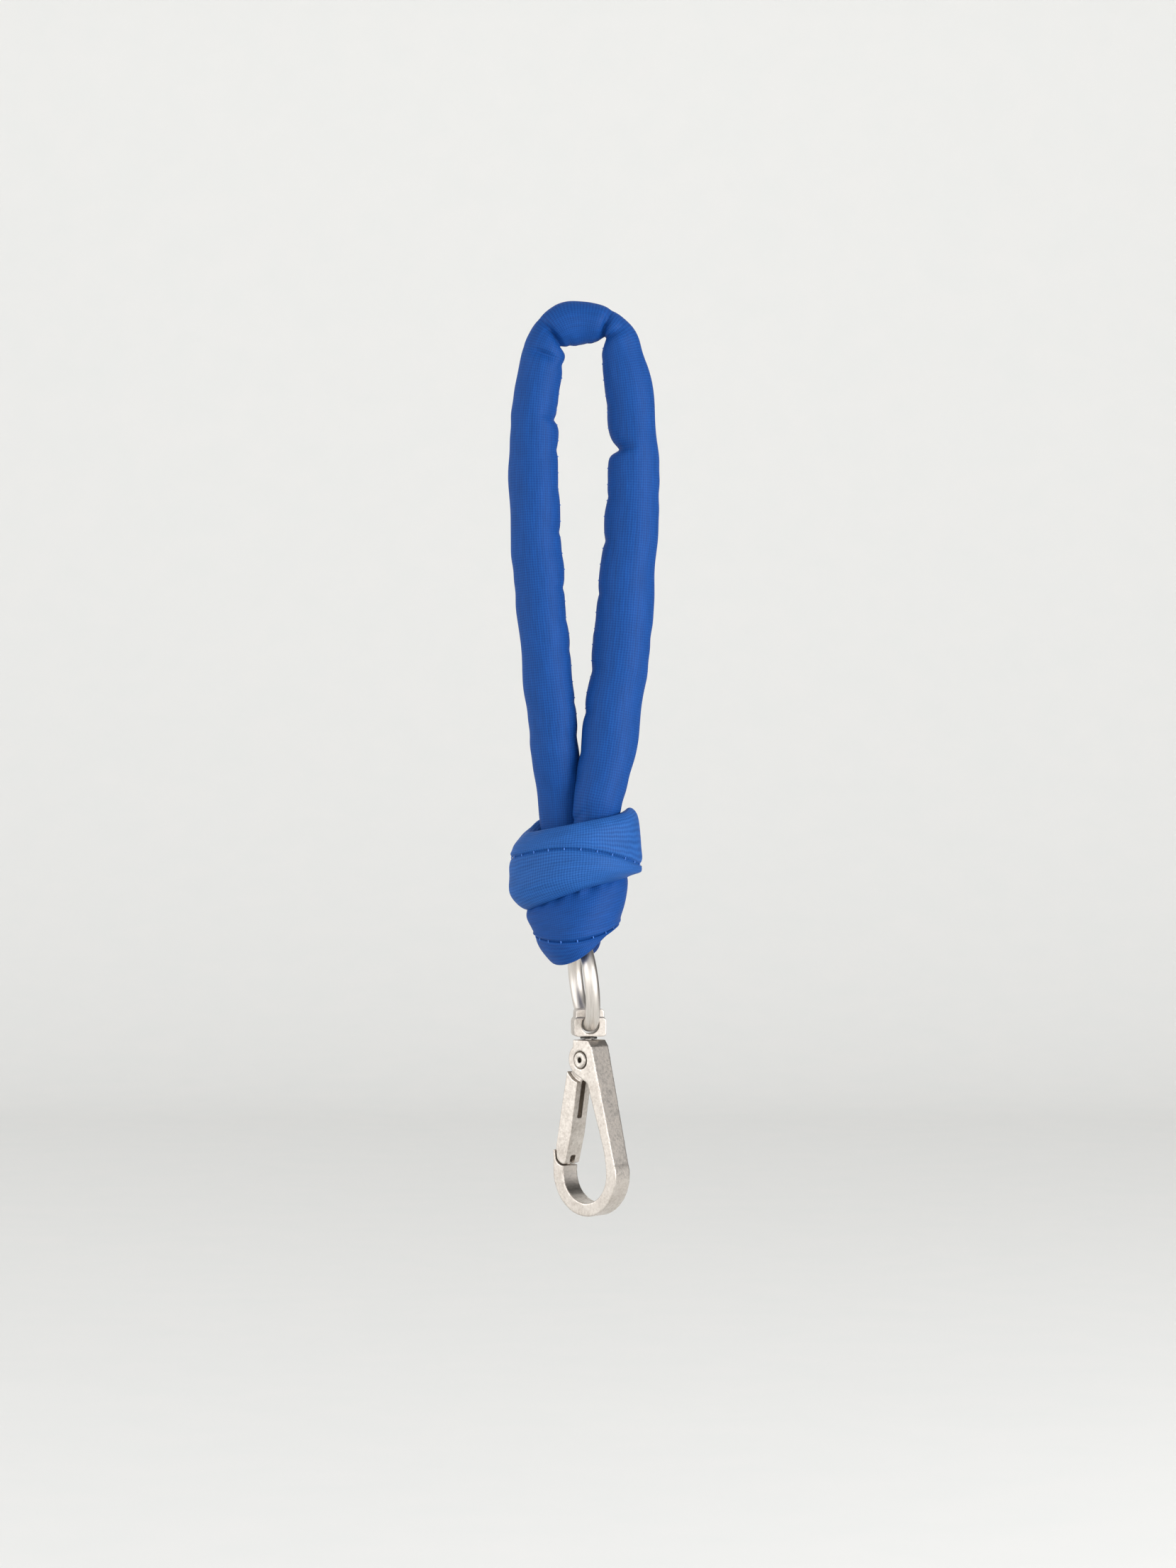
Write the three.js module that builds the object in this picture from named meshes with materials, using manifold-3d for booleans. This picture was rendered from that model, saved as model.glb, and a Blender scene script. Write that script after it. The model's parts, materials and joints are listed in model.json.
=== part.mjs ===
// A stuffed nylon wrist strap, knotted round an O-ring that carries a swivel snap hook.
// Millimetres, +Z up, +X to the right, the front towards -Y. The origin is the top of the
// space inside the hand loop, where the strap hangs from a hand or a peg.

import * as THREE from 'three';
import { mergeVertices } from 'three/addons/utils/BufferGeometryUtils.js';
import Module from 'manifold-3d';

const wasm = await Module();
wasm.setup();

// ---------------------------------------------------------------- driving dimensions

// Strap: a stuffed sleeve, and the route of its middle from one sewn end to the other.
const STRAP_RADIUS = 7.4;
const CROWN_RADIUS = 5.7;
const KNOT_STRAND_RADIUS = 4.6;
const FABRIC = 0.9;
const GAP = 0.3;
const STRAP_ROUTE = [
  [-4.9, 1.0, -154], [-5.3, 1.5, -147], [-6.4, 2.4, -137], [-7.2, 2.2, -126],
  [-8.0, 1.0, -112], [-9.6, 0, -96], [-11.5, 0, -76], [-13.0, 0, -56],
  [-13.5, 0, -36], [-12.6, 0, -17], [-9.9, 0, -3.5], [-5.0, 0, 3.8],
  [1.0, 0, 5.75], [7.2, 0, 3.9], [12.0, 0, -4], [14.2, 0, -18],
  [14.9, 0, -38], [14.0, 0, -58], [12.6, 0, -76], [10.4, 0, -96],
  [8.3, -1.0, -112], [6.6, -2.4, -126], [4.6, -3.4, -137], [4.6, -1.8, -147],
  [4.7, -1.0, -153],
];
const STRAP_STEPS = 54;
const STRAP_SIDES = 12;
const KNOT_TOP = -138;
const STRAND_MEET = -114;
const CROWN_REACH = -30;

// Knot: each turn is a closed band, as ellipses (centre x, centre z, half width, half depth,
// tilt up to the right in degrees, climb towards the back), first down its outside and then
// up its inside.
const UPPER_TURN = [
  [-0.7, -136.3, 13.8, 12.4, 11.5, 0], [-1.0, -138.6, 16.6, 14.2, 11.5, 0],
  [-1.3, -143.5, 18.6, 15.8, 12, 0], [-1.3, -149.0, 18.7, 16.0, 13, 0],
  [-1.1, -153.6, 17.0, 15.0, 15, 0], [-0.8, -155.9, 14.6, 13.2, 17, 0],
  [-0.7, -155.2, 12.0, 10.5, 17, 0], [-0.5, -149.0, 11.4, 9.4, 13, 0],
  [-0.5, -143.0, 11.6, 10.2, 12, 0], [-0.6, -138.2, 12.2, 11.0, 11.5, 0],
];
const LOWER_TURN = [
  [-0.9, -156.9, 12.6, 11.5, 17, 0.02], [-1.0, -158.4, 13.9, 14.2, 19, 0.04],
  [-1.4, -162.6, 12.6, 14.9, 24, 0.09], [-0.8, -166.7, 10.6, 15.2, 29, 0.14],
  [0.0, -169.3, 8.7, 15.0, 33, 0.14], [0.1, -169.6, 7.3, 13.0, 33, 0.14],
  [-0.5, -166.4, 8.2, 11.4, 30, 0.14], [-0.7, -163.0, 9.2, 9.0, 24, 0.09],
  [-0.6, -158.2, 10.6, 9.0, 18, 0.02],
];
const TURN_SIDES = 36;

// Seams: a lockstitched thread stands on the cloth.
const THREAD_RADIUS = 0.3;
const THREAD_SIDES = 5;
const LOOP_SEAM_END = -96;

// O-ring: round wire, its plane leaning and turned a little from edge-on.
const RING_RADIUS = 12.35;
const WIRE_RADIUS = 2.0;
const RING_CENTRE = new THREE.Vector3(0.7, 0, -180.1);
const RING_LEAN = THREE.MathUtils.degToRad(6.5);
const RING_YAW = THREE.MathUtils.degToRad(10.4);

// End tab: the sewn strap ends, folded under the ring's wire.
const TAB_INNER = 3.4;
const TAB_THICKNESS = 2.0;
const TAB_WIDTH = 10;
const TAB_TOP = 9.6;
const TACK_HEIGHT = 2.4;

// Swivel eye: a pierced block with a narrower bar on top and a peened post below.
const EYE_HOLE = 2.55;
const EYE_WIDTH = 9.1;
const EYE_DEPTH = 5.8;
const EYE_BASE = -3.3;
const EYE_SHOULDER = 2.0;
const BAR_WIDTH = 8.0;
const BAR_DEPTH = 5.0;
const BAR_TOP = 4.4;
const POST_RADIUS = 1.1;
const PEEN_RADIUS = 1.6;
const EYE_HOLE_Z = -192.3;

// Snap hook, in its own plane: u to the right, z up, both from the rivet's centre.
const HOOK_TURN = THREE.MathUtils.degToRad(-44);
const PIVOT_Z = -202.2;
const HEAD_TOP = 5.6;
const HEAD_LEFT = -2.75;
const HEAD_RIGHT = 3.1;
const EAR_RADIUS = 4.55;
const HEAD_DEPTH = 7.2;
const BOW_DEPTH = 5.6;
const BOW_CENTRE = [1.1, -31.7];
const BOW_OUTER = 12.15;
const BOW_INNER = 8.4;
const SPINE_TOP = [4.3, 3.9];
const SPINE_END = [12.6, -28.6];
const THROAT = [2.6, -6.4];
const SLOT_HALF = 1.9;
const SLOT_RADIUS = 3.9;
const CAVITY_TOP = 4.45;

// Gate, rivet, spring and washer.
const GATE_DEPTH = 5.7;
const GATE_ARC = 6.6;
const TONGUE_RADIUS = 3.15;
const TONGUE_HALF = 1.6;
const SPRING_SLOT_HALF = 0.9;
const SPRING_SLOT_END = -16.5;
const NOTCH_HALF = 0.95;
const NOTCH_TOP = -27.3;
const TOOTH_HALF = 0.62;
const TOOTH_TOP = -28.75;
const RIVET_RADIUS = 1.2;
const RIVET_BORE = 0.75;
const RIVET_HEAD = 2.25;
const RIVET_END = 3.85;
const COUNTERBORE = 2.55;
const SPRING_WIRE = 0.2;
const SPRING_COIL = 1.95;
const SPRING_TURNS = 1.5;
const WASHER_OUTER = 2.4;
const WASHER_INNER = 1.4;

// ---------------------------------------------------------------- materials

const finish = (color, roughness, metalness) =>
  new THREE.MeshStandardMaterial({ color, roughness, metalness });
const NYLON = finish('#2f62c0', 0.8, 0);
const WADDING = finish('#e9e7e1', 0.95, 0);
const THREAD = finish('#5b86d8', 0.7, 0);
const CAST_METAL = finish('#c9c1b8', 0.42, 0.9);
const WIRE_METAL = finish('#cfc9c2', 0.32, 0.95);
const DARK_STEEL = finish('#34322f', 0.5, 0.9);

// ---------------------------------------------------------------- solids and helpers

const group = new THREE.Group();

// Adds one named piece to a parent group.
function piece(parent, name, geometry, material) {
  const mesh = new THREE.Mesh(geometry, material);
  mesh.name = name;
  parent.add(mesh);
  return mesh;
}

// A closed geometry as a solid that can be joined and cut.
function solid(geometry) {
  const plain = geometry.clone();
  plain.deleteAttribute('normal');
  plain.deleteAttribute('uv');
  const merged = mergeVertices(plain, 1e-4);
  return new wasm.Manifold(new wasm.Mesh({
    numProp: 3,
    vertProperties: new Float32Array(merged.attributes.position.array),
    triVerts: new Uint32Array(merged.index.array),
  }));
}

// A solid's surface as a geometry again.
function surface(manifold) {
  const mesh = manifold.getMesh();
  const geometry = new THREE.BufferGeometry();
  geometry.setAttribute('position', new THREE.BufferAttribute(mesh.vertProperties, 3));
  geometry.setIndex(new THREE.BufferAttribute(mesh.triVerts, 1));
  geometry.computeVertexNormals();
  return geometry;
}

// An outline in the x-z plane, made as thick as depth, half each side of y = 0.
function plate(shape, depth, curveSegments = 24) {
  const geometry = new THREE.ExtrudeGeometry(shape, { depth, curveSegments, bevelEnabled: false });
  geometry.translate(0, 0, -depth / 2);
  geometry.rotateX(Math.PI / 2);
  return geometry;
}

function polygon(points) {
  return new THREE.Shape(points.map(([x, z]) => new THREE.Vector2(x, z)));
}

function disc(radius) {
  const shape = new THREE.Shape();
  shape.absarc(0, 0, radius, 0, 2 * Math.PI, false);
  return shape;
}

function box(low, high) {
  const geometry = new THREE.BoxGeometry(high[0] - low[0], high[1] - low[1], high[2] - low[2]);
  geometry.translate((low[0] + high[0]) / 2, (low[1] + high[1]) / 2, (low[2] + high[2]) / 2);
  return geometry;
}

// A turned piece about the z axis; its profile [radius, z] closes on itself or on the axis.
function turned(profile, sides = 24) {
  const points = profile.map(([radius, z]) => new THREE.Vector2(radius, z));
  const geometry = new THREE.LatheGeometry(points, sides);
  geometry.rotateX(Math.PI / 2);
  return geometry;
}

// Skins a row of rings of points. A cyclic skin joins the last ring to the first; an open
// one is closed by a fan at each end. The faces are turned outwards by the signed volume.
function skin(rings, cyclic) {
  const sides = rings[0].length;
  const points = rings.flat();
  const faces = [];
  const spans = cyclic ? rings.length : rings.length - 1;
  for (let i = 0; i < spans; i += 1) {
    const here = i * sides;
    const next = ((i + 1) % rings.length) * sides;
    for (let j = 0; j < sides; j += 1) {
      const k = (j + 1) % sides;
      faces.push([here + j, here + k, next + k], [here + j, next + k, next + j]);
    }
  }
  if (!cyclic) {
    for (const [ring, flip] of [[0, true], [rings.length - 1, false]]) {
      const middle = new THREE.Vector3();
      rings[ring].forEach((point) => middle.add(point));
      points.push(middle.divideScalar(sides));
      for (let j = 0; j < sides; j += 1) {
        const edge = [ring * sides + j, ring * sides + ((j + 1) % sides)];
        faces.push(flip ? [points.length - 1, edge[1], edge[0]] : [points.length - 1, ...edge]);
      }
    }
  }
  const volume = faces.reduce((sum, [a, b, c]) => {
    const normal = new THREE.Vector3().crossVectors(points[b], points[c]);
    return sum + points[a].dot(normal);
  }, 0);
  const outward = volume > 0 ? faces : faces.map(([a, b, c]) => [a, c, b]);
  const geometry = new THREE.BufferGeometry().setFromPoints(points);
  geometry.setIndex(outward.flat());
  geometry.computeVertexNormals();
  return geometry;
}

// A thin round tube along a curve.
function wire(curve, radius, steps, sides) {
  const section = new THREE.Shape();
  for (let i = 0; i < sides; i += 1) {
    const angle = (2 * Math.PI * i) / sides;
    const corner = [radius * Math.cos(angle), radius * Math.sin(angle)];
    if (i === 0) section.moveTo(...corner);
    else section.lineTo(...corner);
  }
  section.closePath();
  return new THREE.ExtrudeGeometry(section, { steps, extrudePath: curve, bevelEnabled: false });
}

const route = (points) =>
  new THREE.CatmullRomCurve3(points.map((point) => new THREE.Vector3(...point)), false);

const ease = (value, low, high) => THREE.MathUtils.smoothstep(value, low, high);

// ---------------------------------------------------------------- strap

const strapCurve = route(STRAP_ROUTE);

// The stuffed radius: full down the sides, pinched at the crown and where the knot grips.
function strapRadius(point) {
  const crown = THREE.MathUtils.lerp(STRAP_RADIUS, CROWN_RADIUS, ease(point.z, CROWN_REACH, 0));
  const knot = ease(-point.z, -STRAND_MEET, -KNOT_TOP);
  return THREE.MathUtils.lerp(crown, KNOT_STRAND_RADIUS, knot);
}

// One ring of points round the strap at fraction t, inset from the outer radius.
function strapRing(t, inset) {
  const centre = strapCurve.getPointAt(t);
  const along = strapCurve.getTangentAt(t);
  const side = new THREE.Vector3().crossVectors(along, new THREE.Vector3(0, 1, 0)).normalize();
  const front = new THREE.Vector3().crossVectors(side, along);
  const radius = strapRadius(centre) - inset;
  return Array.from({ length: STRAP_SIDES }, (_, i) => {
    const angle = (2 * Math.PI * i) / STRAP_SIDES;
    return centre.clone()
      .addScaledVector(side, radius * Math.cos(angle))
      .addScaledVector(front, radius * Math.sin(angle));
  });
}

const stations = Array.from({ length: STRAP_STEPS + 1 }, (_, i) => i / STRAP_STEPS);
const outside = stations.map((t) => strapRing(t, 0));
const lining = stations.map((t) => strapRing(t, FABRIC)).reverse();
piece(group, 'strap_cover', skin([...outside, ...lining], true), NYLON);
const filling = stations.slice(1, -1).map((t) => strapRing(t, FABRIC + GAP));
piece(group, 'strap_wadding', skin(filling, false), WADDING);

// The loop's seam runs up the inner side of one strand, over the crown and down the other.
const seamStations = stations.filter((t) => strapCurve.getPointAt(t).z > LOOP_SEAM_END);
const seamPoints = seamStations.map((t) => {
  const centre = strapCurve.getPointAt(t);
  const along = strapCurve.getTangentAt(t);
  const inward = new THREE.Vector3().crossVectors(new THREE.Vector3(0, 1, 0), along).normalize();
  return centre.addScaledVector(inward, strapRadius(centre) + GAP + THREAD_RADIUS);
});
const loopSeam = new THREE.CatmullRomCurve3(seamPoints, false);
piece(group, 'loop_seam_thread', wire(loopSeam, THREAD_RADIUS, 48, THREAD_SIDES), THREAD);

// ---------------------------------------------------------------- knot

// One ellipse of a turn: its long axis tilts up to the right, its short axis is the depth.
function turnRing([x, z, halfWidth, halfDepth, tilt, climb]) {
  const lean = THREE.MathUtils.degToRad(tilt);
  return Array.from({ length: TURN_SIDES }, (_, i) => {
    const angle = (2 * Math.PI * i) / TURN_SIDES;
    const reach = halfWidth * Math.cos(angle);
    const back = halfDepth * Math.sin(angle);
    return new THREE.Vector3(
      x + reach * Math.cos(lean),
      back,
      z + reach * Math.sin(lean) + climb * back,
    );
  });
}

piece(group, 'knot_upper_turn', skin(UPPER_TURN.map(turnRing), true), NYLON);
piece(group, 'knot_lower_turn', skin(LOWER_TURN.map(turnRing), true), NYLON);

// A seam thread lies across the front of a turn, clear of it, on a ring of its own.
function turnSeam(name, ring) {
  const [x, z, halfWidth, halfDepth, tilt, climb] = ring;
  const lift = GAP + 2 * THREAD_RADIUS;
  const points = turnRing([x, z, halfWidth + lift, halfDepth + lift, tilt, climb]);
  const front = points.filter((point) => point.y < -0.2 * halfDepth);
  const curve = new THREE.CatmullRomCurve3(front, false);
  piece(group, name, wire(curve, THREAD_RADIUS, 20, THREAD_SIDES), THREAD);
}

turnSeam('upper_seam_thread', [-1.3, -145.2, 18.7, 16.0, 4, 0]);
turnSeam('lower_seam_thread', [-1.0, -164.9, 11.9, 15.3, 18, 0.1]);

// ---------------------------------------------------------------- end tab

// The ring's own axes: down its plane, and along the wire at its top and bottom.
const ringTurn = new THREE.Euler(0, -RING_LEAN, RING_YAW, 'ZYX');
const ringDown = new THREE.Vector3(0, 0, -1).applyEuler(ringTurn);
const ringTop = RING_CENTRE.clone().addScaledVector(ringDown, -RING_RADIUS);
const ringBottom = RING_CENTRE.clone().addScaledVector(ringDown, RING_RADIUS);

const tabGroup = new THREE.Group();
tabGroup.position.copy(ringTop);
tabGroup.rotation.z = RING_YAW;
group.add(tabGroup);

const tabOuter = TAB_INNER + TAB_THICKNESS;
const tabShape = new THREE.Shape();
tabShape.moveTo(-tabOuter, TAB_TOP);
tabShape.lineTo(-tabOuter, 0);
tabShape.absarc(0, 0, tabOuter, Math.PI, 2 * Math.PI, false);
tabShape.lineTo(tabOuter, TAB_TOP);
tabShape.lineTo(TAB_INNER, TAB_TOP);
tabShape.lineTo(TAB_INNER, 0);
tabShape.absarc(0, 0, TAB_INNER, 2 * Math.PI, Math.PI, true);
tabShape.lineTo(-TAB_INNER, TAB_TOP);
piece(tabGroup, 'end_tab', plate(tabShape, TAB_WIDTH), NYLON);

// The bar tack closes the tab above the wire.
const tackWidth = TAB_INNER - GAP;
const tack = box(
  [-tackWidth, -TAB_WIDTH / 2 + 1, TAB_TOP - TACK_HEIGHT],
  [tackWidth, TAB_WIDTH / 2 - 1, TAB_TOP],
);
piece(tabGroup, 'tab_bar_tack', tack, THREAD);

// ---------------------------------------------------------------- O-ring

const ring = new THREE.TorusGeometry(RING_RADIUS, WIRE_RADIUS, 12, 48);
ring.rotateY(Math.PI / 2);
const ringMesh = piece(group, 'o_ring', ring, WIRE_METAL);
ringMesh.position.copy(RING_CENTRE);
ringMesh.rotation.copy(ringTurn);

// ---------------------------------------------------------------- swivel eye and washer

const eyeGroup = new THREE.Group();
eyeGroup.position.set(ringBottom.x, ringBottom.y, EYE_HOLE_Z);
eyeGroup.rotation.z = RING_YAW;
group.add(eyeGroup);

// A rectangle with round corners, in the x-z plane.
function roundedBlock(width, low, high, corner) {
  const half = width / 2;
  const shape = new THREE.Shape();
  shape.moveTo(-half + corner, low);
  shape.lineTo(half - corner, low);
  shape.absarc(half - corner, low + corner, corner, -Math.PI / 2, 0, false);
  shape.lineTo(half, high - corner);
  shape.absarc(half - corner, high - corner, corner, 0, Math.PI / 2, false);
  shape.lineTo(-half + corner, high);
  shape.absarc(-half + corner, high - corner, corner, Math.PI / 2, Math.PI, false);
  shape.lineTo(-half, low + corner);
  shape.absarc(-half + corner, low + corner, corner, Math.PI, 1.5 * Math.PI, false);
  return shape;
}

const headTop = PIVOT_Z + HEAD_TOP - EYE_HOLE_Z;
const peenTop = PIVOT_Z + CAVITY_TOP - GAP - EYE_HOLE_Z;
const peenBottom = peenTop - 0.6;
const post = turned([
  [0, peenBottom], [PEEN_RADIUS - 0.3, peenBottom], [PEEN_RADIUS, peenBottom + 0.2],
  [PEEN_RADIUS, peenTop], [POST_RADIUS, peenTop], [POST_RADIUS, EYE_BASE + 0.3],
  [0, EYE_BASE + 0.3],
]);
const cheeks = plate(roundedBlock(EYE_WIDTH, EYE_BASE, EYE_SHOULDER, 0.9), EYE_DEPTH, 5);
const bar = plate(roundedBlock(BAR_WIDTH, 0, BAR_TOP, 0.9), BAR_DEPTH, 5);
const eyeHole = plate(disc(EYE_HOLE), EYE_DEPTH + 2, 24);
const eye = solid(cheeks).add(solid(bar)).subtract(solid(eyeHole)).add(solid(post));
piece(eyeGroup, 'swivel_eye', surface(eye), CAST_METAL);

const washerLow = headTop + GAP;
const washerHigh = EYE_BASE - GAP + 0.05;
const washer = turned([
  [WASHER_INNER, washerLow], [WASHER_OUTER, washerLow], [WASHER_OUTER, washerHigh],
  [WASHER_INNER, washerHigh], [WASHER_INNER, washerLow],
]);
piece(eyeGroup, 'swivel_washer', washer, DARK_STEEL);

// ---------------------------------------------------------------- hook body

const hookGroup = new THREE.Group();
hookGroup.position.set(ringBottom.x, ringBottom.y, PIVOT_Z);
hookGroup.rotation.z = HOOK_TURN;
group.add(hookGroup);

// The outline: head, straight spine, round bow, nose with its seat, throat and round ear.
const throatReach = Math.hypot(...THROAT);
const throatAngle = Math.atan2(THROAT[1], THROAT[0]);
const earEnd = throatAngle - Math.acos(EAR_RADIUS / throatReach);
const earStart = Math.PI - Math.acos(-HEAD_LEFT / EAR_RADIUS);
const hookShape = new THREE.Shape();
hookShape.moveTo(HEAD_LEFT, HEAD_TOP);
hookShape.lineTo(HEAD_RIGHT, HEAD_TOP);
hookShape.lineTo(...SPINE_TOP);
hookShape.lineTo(...SPINE_END);
hookShape.quadraticCurveTo(13.25, -30.2, BOW_CENTRE[0] + BOW_OUTER, BOW_CENTRE[1]);
hookShape.absarc(...BOW_CENTRE, BOW_OUTER, 0, -Math.PI, true);
hookShape.lineTo(-11.05, -26.0);
hookShape.quadraticCurveTo(-10.75, -25.4, -10.4, -26.0);
hookShape.lineTo(-10.25, -28.2);
hookShape.quadraticCurveTo(-9.5, -29.9, -7.2, -30.15);
hookShape.lineTo(BOW_CENTRE[0] - BOW_INNER, BOW_CENTRE[1]);
hookShape.absarc(...BOW_CENTRE, BOW_INNER, Math.PI, 2 * Math.PI, false);
hookShape.bezierCurveTo(9.6, -28.0, 8.7, -24.6, 7.6, -21.3);
hookShape.lineTo(...THROAT);
hookShape.absarc(0, 0, EAR_RADIUS, earEnd, earStart - 2 * Math.PI, true);

// The casting is thinner towards the bow, so its two flat sides taper.
const casting = plate(hookShape, HEAD_DEPTH, 18);
const castingPoints = casting.attributes.position;
for (let i = 0; i < castingPoints.count; i += 1) {
  const drop = (HEAD_TOP - castingPoints.getZ(i)) / (HEAD_TOP - BOW_CENTRE[1] + BOW_OUTER);
  const depth = THREE.MathUtils.lerp(HEAD_DEPTH, BOW_DEPTH, drop);
  castingPoints.setY(i, (castingPoints.getY(i) * depth) / HEAD_DEPTH);
}

// The slot that lets the gate's tongue swing, and the pocket for the peened post.
const slotFan = polygon([[0, 0], [-9, -3.3], [-9, -9], [2.9, -9], [2.05, -5.6], [SLOT_RADIUS, 0]]);
const tongueSlot = solid(plate(disc(SLOT_RADIUS), 2 * SLOT_HALF, 28))
  .add(solid(plate(slotFan, 2 * SLOT_HALF)))
  .add(solid(box([-SLOT_HALF, -SLOT_HALF, 0], [SLOT_HALF, SLOT_HALF, CAVITY_TOP])));
const postHole = turned([
  [0, 0], [POST_RADIUS + GAP, 0], [POST_RADIUS + GAP, HEAD_TOP + 1], [0, HEAD_TOP + 1],
]);
const rivetHole = plate(disc(RIVET_RADIUS + GAP), HEAD_DEPTH + 2, 20);
const seatDepth = 3.3 - GAP;
const rivetSeats = solid(plate(disc(COUNTERBORE), HEAD_DEPTH + 2, 24))
  .subtract(solid(plate(disc(COUNTERBORE + 1), 2 * seatDepth, 24)));
const tooth = box([-9.4, -TOOTH_HALF, -31.5], [-7.6, TOOTH_HALF, TOOTH_TOP]);
const hook = solid(casting)
  .subtract(tongueSlot)
  .subtract(solid(postHole))
  .subtract(solid(rivetHole))
  .subtract(rivetSeats)
  .add(solid(tooth));
piece(hookGroup, 'hook_body', surface(hook), CAST_METAL);

// ---------------------------------------------------------------- gate

// The gate's thick part starts on an arc about the rivet and ends in a convex tip.
const arcLeft = THREE.MathUtils.degToRad(210);
const arcRight = THREE.MathUtils.degToRad(255);
const gateShape = new THREE.Shape();
gateShape.moveTo(GATE_ARC * Math.cos(arcRight), GATE_ARC * Math.sin(arcRight));
gateShape.absarc(0, 0, GATE_ARC, arcRight, arcLeft, true);
gateShape.lineTo(-7.9, -13.7);
gateShape.lineTo(-10.1, -24.9);
gateShape.lineTo(-10.0, -26.4);
gateShape.lineTo(-9.85, -28.0);
gateShape.quadraticCurveTo(-9.2, -29.4, -7.2, -29.75);
gateShape.lineTo(-6.5, -29.4);
gateShape.lineTo(-6.2, -28.5);
gateShape.lineTo(-4.3, -21.5);

// The tongue is thinner, and reaches up between the head's cheeks to the rivet.
const tongueLeft = THREE.MathUtils.degToRad(195);
const tongueRight = THREE.MathUtils.degToRad(-35);
const tongueShape = new THREE.Shape();
tongueShape.moveTo(-6.4, -8.5);
tongueShape.lineTo(-5.5, -4.0);
tongueShape.lineTo(TONGUE_RADIUS * Math.cos(tongueLeft), TONGUE_RADIUS * Math.sin(tongueLeft));
tongueShape.absarc(0, 0, TONGUE_RADIUS, tongueLeft, tongueRight, true);
tongueShape.lineTo(-1.9, -6.6);
tongueShape.lineTo(-2.6, -8.5);

const springSlot = polygon([
  [-3.6, 4], [-3.6, -3], [-6.0, SPRING_SLOT_END], [0, SPRING_SLOT_END], [4, -3], [4, 4],
]);
const gate = solid(plate(gateShape, GATE_DEPTH, 10))
  .add(solid(plate(tongueShape, 2 * TONGUE_HALF, 20)))
  .subtract(solid(plate(springSlot, 2 * SPRING_SLOT_HALF)))
  .subtract(solid(plate(disc(RIVET_RADIUS + GAP), GATE_DEPTH + 2, 20)))
  .subtract(solid(box([-12, -NOTCH_HALF, -32], [-5, NOTCH_HALF, NOTCH_TOP])));
piece(hookGroup, 'gate_lever', surface(gate), CAST_METAL);

// ---------------------------------------------------------------- gate rivet

// A tubular rivet: a shank, a flat head at each end, and a bore right through.
const rivet = turned([
  [RIVET_BORE, -RIVET_END + 0.15], [RIVET_BORE + 0.25, -RIVET_END],
  [RIVET_HEAD - 0.3, -RIVET_END], [RIVET_HEAD, -RIVET_END + 0.25],
  [RIVET_HEAD, -seatDepth - GAP], [RIVET_RADIUS, -seatDepth - GAP],
  [RIVET_RADIUS, seatDepth + GAP], [RIVET_HEAD, seatDepth + GAP],
  [RIVET_HEAD, RIVET_END - 0.25], [RIVET_HEAD - 0.3, RIVET_END],
  [RIVET_BORE + 0.25, RIVET_END], [RIVET_BORE, RIVET_END - 0.15],
  [RIVET_BORE, -RIVET_END + 0.15],
]);
rivet.rotateX(Math.PI / 2);
piece(hookGroup, 'gate_rivet', rivet, WIRE_METAL);

// ---------------------------------------------------------------- gate spring

// A torsion spring: a leg in the gate's slot, a coil round the rivet, a leg on the body.
const coilSteps = 18;
const coilPoints = Array.from({ length: coilSteps + 1 }, (_, i) => {
  const turn = (i / coilSteps) * SPRING_TURNS;
  const angle = Math.PI - turn * 2 * Math.PI;
  const across = (2 * turn / SPRING_TURNS - 1) * (SPRING_SLOT_HALF - SPRING_WIRE - GAP);
  return [SPRING_COIL * Math.cos(angle), across, SPRING_COIL * Math.sin(angle)];
});
const springCurve = route([
  [-4.9, coilPoints[0][1], -15.6], [-3.6, coilPoints[0][1], -9], [-2.3, coilPoints[0][1], -3],
  ...coilPoints,
  [1.9, coilPoints.at(-1)[1], -2.2], [1.35, coilPoints.at(-1)[1], -5.0],
]);
const spring = wire(springCurve, SPRING_WIRE, 52, THREAD_SIDES);
piece(hookGroup, 'gate_spring', spring, DARK_STEEL);

export default group;
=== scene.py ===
# %% [markdown]
# # A stuffed wrist strap with a swivel snap hook
# The object is a padded loop of woven nylon, knotted at the bottom. A steel ring hangs from the
# knot, and a die-cast snap hook hangs from the ring by a swivel eye. This lesson builds its looks
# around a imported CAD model, which fixes every size and every joint. Soft pieces are worked out
# with numpy and replace plain CAD solids, and cast pieces are softened copies of the CAD ones.

# %% Load the frame
import json

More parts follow.
